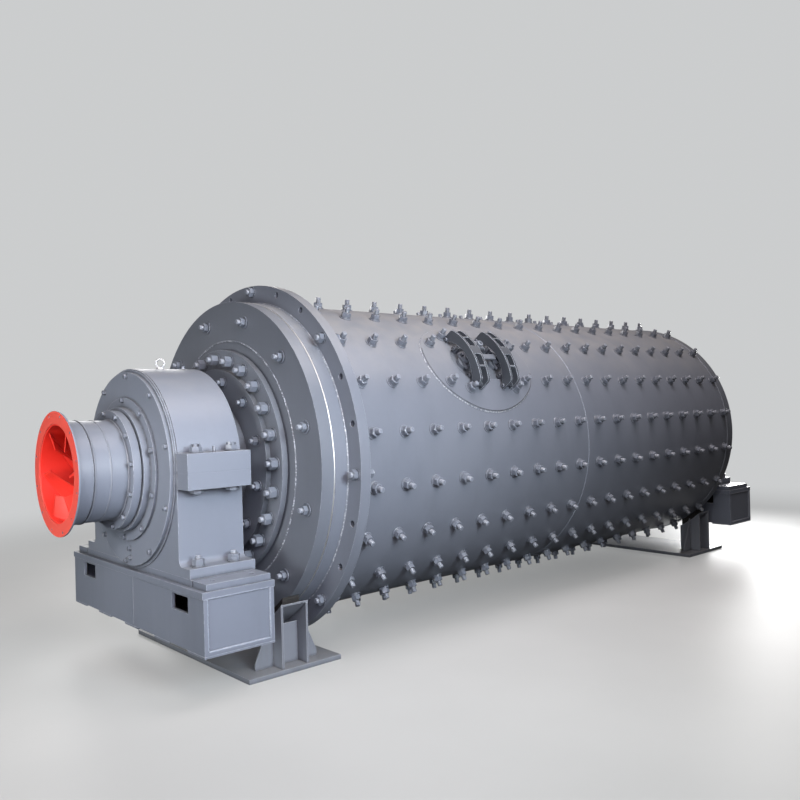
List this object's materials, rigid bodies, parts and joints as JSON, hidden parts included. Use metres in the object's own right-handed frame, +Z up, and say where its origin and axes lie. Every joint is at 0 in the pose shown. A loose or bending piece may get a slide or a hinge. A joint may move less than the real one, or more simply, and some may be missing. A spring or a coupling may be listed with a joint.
{
  "type": "ball mill",
  "caption": "Horizontal grinding drum with bolted liners, large gear flange, hollow trunnions in split bearings on box bases, held on two floor stands.",
  "frame": {"origin": "bottom centre of the whole machine, on the floor", "axes": "+X along the mill from the feed end to the discharge end, +Z up, the manhole is on the -Y side"},
  "size_m": [6.57, 2.2798, 2.3358],
  "materials": {
    "grey_paint": "semi-gloss blue-grey machine enamel",
    "red_paint": "gloss red enamel",
    "bush_bronze": "machined bronze",
    "bright_wire": "bright drawn wire",
    "lining_wood": "dark hardwood packing"
  },
  "bodies": {
    "frame": {"feed_lower_housing": "grey_paint", "feed_bearing_cap": "grey_paint", "feed_bearing_bush": "bush_bronze", "feed_bearing_cover": "grey_paint", "feed_packing_ring": "grey_paint", "feed_sole_plate": "grey_paint", "feed_base_top": "grey_paint", "feed_base_box": "grey_paint", "discharge_lower_housing": "grey_paint", "discharge_bearing_cap": "grey_paint", "discharge_bearing_bush": "bush_bronze", "discharge_bearing_cover": "grey_paint", "discharge_packing_ring": "grey_paint", "discharge_sole_plate": "grey_paint", "discharge_base_top": "grey_paint", "discharge_base_box": "grey_paint", "feed_stand_plate": "grey_paint", "feed_stand_posts": "grey_paint", "discharge_stand_plate": "grey_paint", "discharge_stand_posts": "grey_paint", "saddles": "grey_paint", "saddle_linings": "lining_wood", "lifting_eyes": "grey_paint", "end_pads": "grey_paint", "base_strips": "grey_paint"},
    "drum": {"drum_shell": "grey_paint", "gear_flange": "grey_paint", "shell_end_ring": "grey_paint", "seam_wire": "bright_wire", "feed_head": "grey_paint", "feed_trunnion": "grey_paint", "inlet_tube": "grey_paint", "inlet_tube_ring": "grey_paint", "inlet_flange": "red_paint", "inlet_liner": "red_paint", "inlet_blades": "red_paint", "discharge_head": "grey_paint", "discharge_trunnion": "grey_paint", "discharge_tube": "grey_paint", "discharge_ring": "grey_paint", "manhole_pad": "grey_paint", "manhole_door": "grey_paint", "manhole_bridges": "grey_paint", "manhole_studs": "grey_paint"}
  },
  "joints": [
    {"name": "drum_turn", "type": "hinge", "parent": "frame", "child": "drum", "pos_m": [0, 0, 1.196], "axis": [1, 0, 0], "continuous": true}
  ]
}
